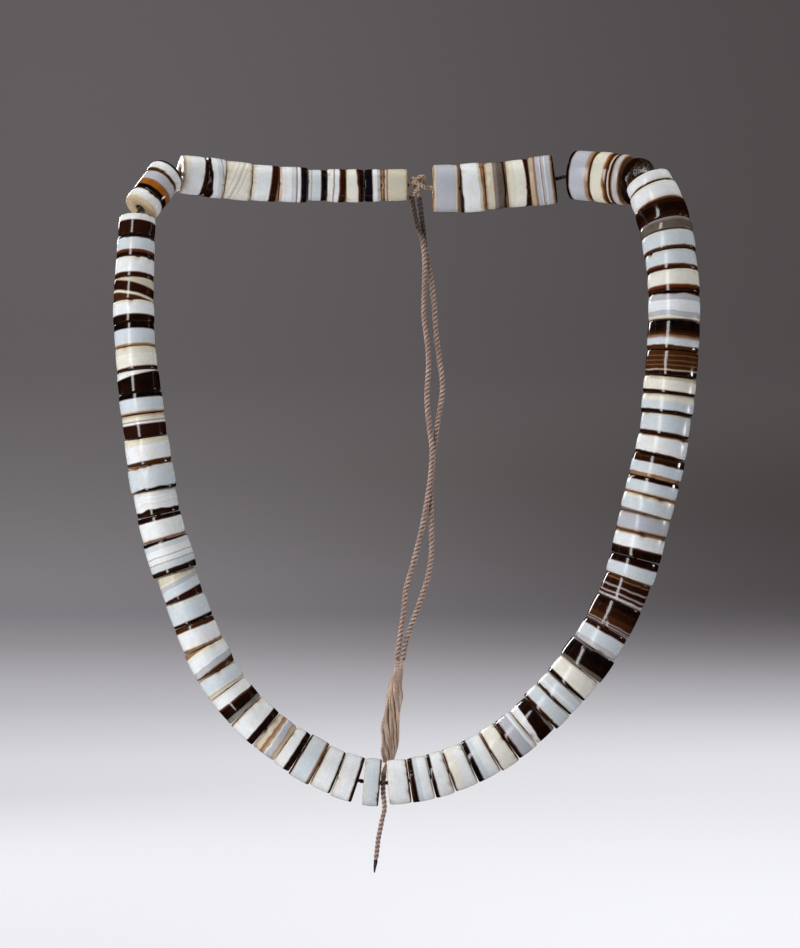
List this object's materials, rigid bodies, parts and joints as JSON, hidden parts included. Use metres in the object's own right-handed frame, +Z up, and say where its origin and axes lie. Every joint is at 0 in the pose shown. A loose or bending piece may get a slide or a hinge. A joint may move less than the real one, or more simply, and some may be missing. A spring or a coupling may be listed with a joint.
{
  "type": "agate bead necklace",
  "caption": "Hanging necklace of drilled banded agate discs, graduated in size and strung in one closed loop, with the two thread ends hanging inside it.",
  "frame": {"origin": "middle of the string at the nape, where the loop hangs", "axes": "+Z up, -Y towards the front of the neck, +X towards the larger beads, which are on the right as seen from the front"},
  "size_m": [0.1769, 0.0477, 0.2192],
  "materials": {
    "agate": "polished",
    "thread": "matte",
    "cord": "matte",
    "wax": "satin"
  },
  "bodies": {
    "root": {"beads_left": "agate", "beads_right": "agate", "thread": "thread", "knot": "cord", "tail_left": "cord", "tail_right": "cord", "fray": "cord", "tail_end": "cord", "wax_tip": "wax"}
  },
  "joints": []
}
